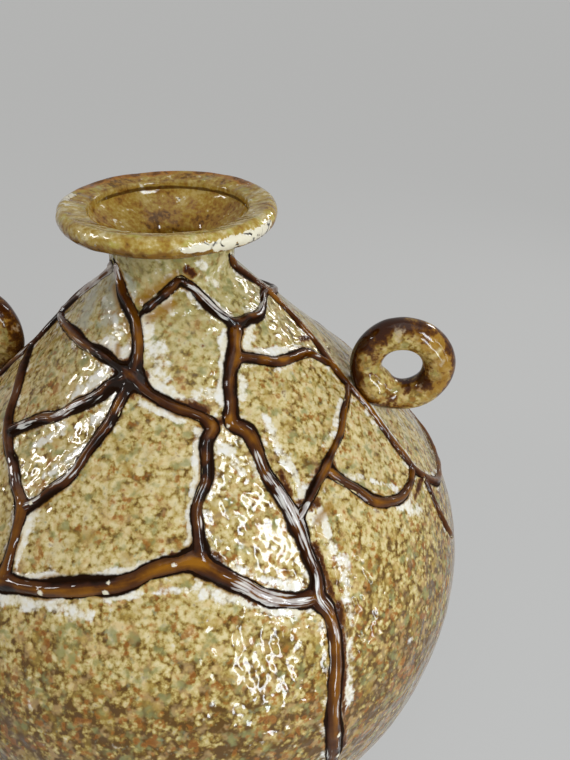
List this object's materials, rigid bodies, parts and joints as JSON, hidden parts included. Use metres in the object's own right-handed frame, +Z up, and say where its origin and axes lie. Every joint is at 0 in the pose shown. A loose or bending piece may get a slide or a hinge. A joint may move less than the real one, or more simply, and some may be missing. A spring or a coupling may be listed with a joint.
{
  "type": "ceramic flower vase",
  "caption": "Round-bellied stoneware flower vase with a narrow flared neck, two upright ring lugs on the shoulder and a raised net of clay strips under mottled glaze.",
  "frame": {"origin": "middle of the foot ring's resting face", "axes": "+Z up through the mouth; the two ring lugs lie on -X and +X and stand in the XZ plane; -Y is the side of the picture"},
  "size_m": [0.259, 0.259, 0.27],
  "materials": {
    "body_glaze": "glossy khaki glaze, mottled olive, cream and rust",
    "collar_glaze": "glossy olive and khaki glaze, amber inside",
    "foot_clay": "bare fired clay",
    "lug_glaze": "glossy khaki glaze breaking to rust brown",
    "strip_glaze": "glossy amber brown glaze, nearly black in the creases"
  },
  "bodies": {
    "root": {"vessel_body": "body_glaze", "neck_collar": "collar_glaze", "foot_ring": "foot_clay", "ring_lug_right": "lug_glaze", "ring_lug_left": "lug_glaze", "strip_left_shoulder": "strip_glaze", "strip_back_right_long": "strip_glaze", "strip_right_long": "strip_glaze", "strip_neck_arch": "strip_glaze", "strip_front_main": "strip_glaze", "strip_lower_cross": "strip_glaze", "strip_left_top": "strip_glaze", "strip_left_side": "strip_glaze", "strip_neck_left": "strip_glaze", "strip_left_diagonal": "strip_glaze", "strip_left_fall": "strip_glaze", "strip_right_cross": "strip_glaze", "strip_right_fall": "strip_glaze", "strip_right_hook": "strip_glaze", "strip_right_tail": "strip_glaze", "strip_back_left_long": "strip_glaze", "strip_back_right_top": "strip_glaze", "strip_back_upper": "strip_glaze", "strip_back_lower": "strip_glaze", "strip_back_centre": "strip_glaze", "strip_back_left_top": "strip_glaze", "strip_back_left_hook": "strip_glaze"}
  },
  "joints": []
}
